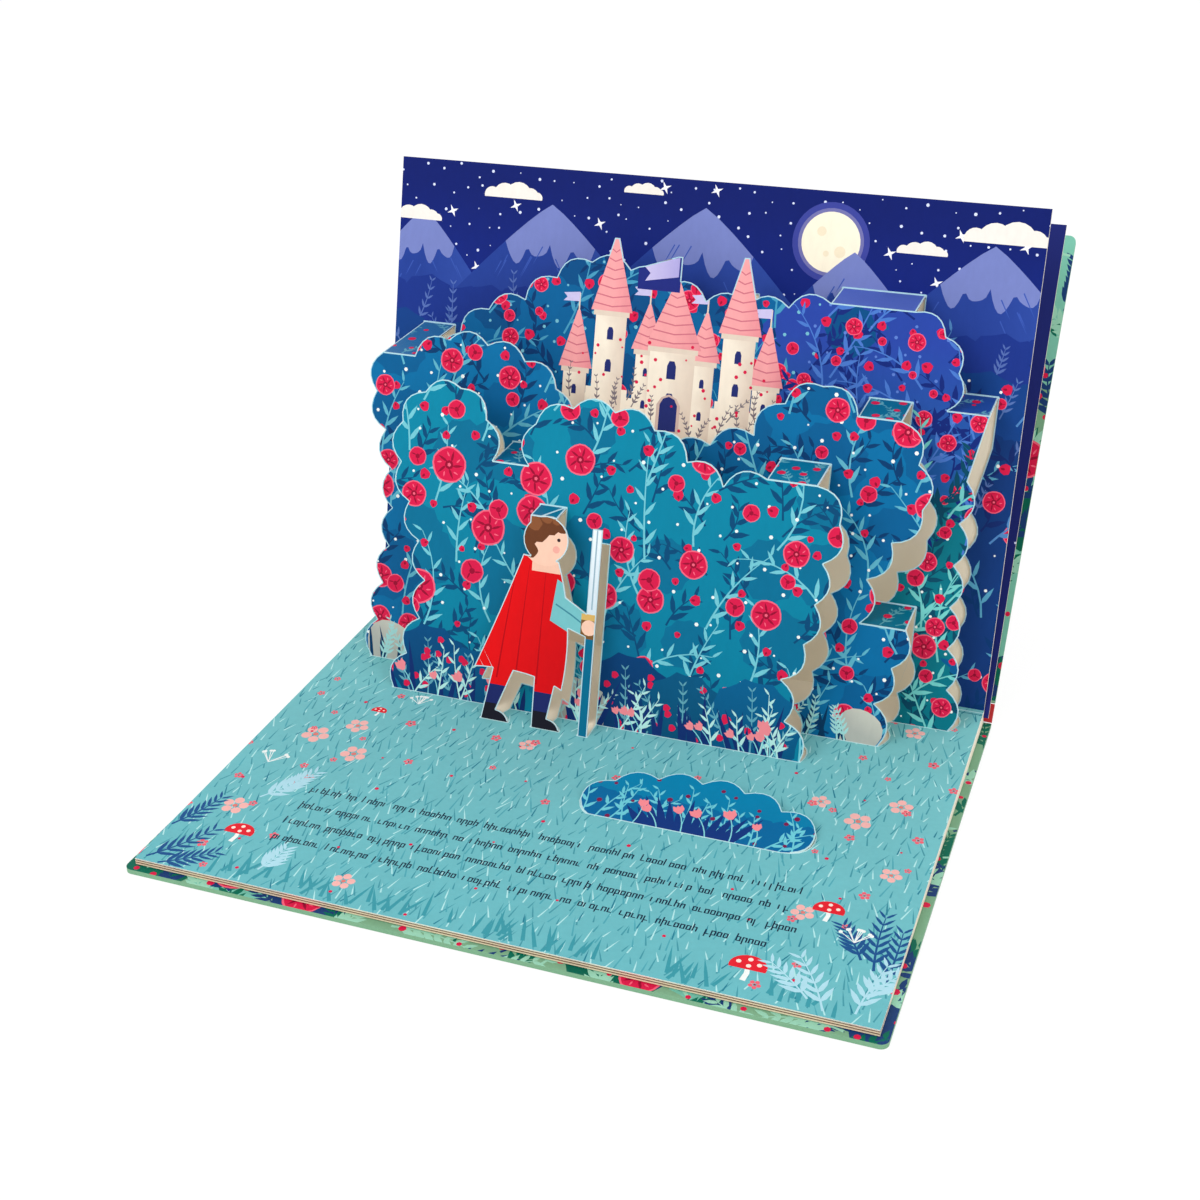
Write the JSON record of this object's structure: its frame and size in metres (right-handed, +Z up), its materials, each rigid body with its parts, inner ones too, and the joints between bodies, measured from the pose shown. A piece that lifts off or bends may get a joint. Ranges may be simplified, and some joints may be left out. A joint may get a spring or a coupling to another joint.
{
  "type": "pop up book",
  "caption": "Open hardback pop-up book: a die-cut paper scene stands in tiers between a level lower page and a standing page, with hinged front and back covers.",
  "frame": {"origin": "bottom centre of the open book's box, on the surface that it stands on", "axes": "+Z up, +X to the reader's right, +Y away from the reader, towards the standing page"},
  "size_m": [0.2764, 0.3334, 0.2025],
  "materials": {
    "printed_card": "matt printed card, blue-green hedges, dark blue sky and pale teal grass",
    "plain_leaves": "unprinted cream card",
    "case_spine": "printed case paper over board, red",
    "case_boards": "printed case paper over board, sage green with leaves and blossoms"
  },
  "bodies": {
    "book_block": {"popup_spread": "printed_card", "page_block": "plain_leaves", "spine_board": "case_spine"},
    "front_cover": {"front_cover": "case_boards"},
    "back_cover": {"back_cover": "case_boards"}
  },
  "joints": [
    {"name": "front_cover_hinge", "type": "hinge", "parent": "book_block", "child": "front_cover", "pos_m": [0, 0.04445, 0.00918], "axis": [-1, 0, 0], "range_deg": [-4, 52]},
    {"name": "back_cover_hinge", "type": "hinge", "parent": "book_block", "child": "back_cover", "pos_m": [0, 0.03825, 0.00095], "axis": [1, 0, 0], "range_deg": [0, 120]}
  ]
}
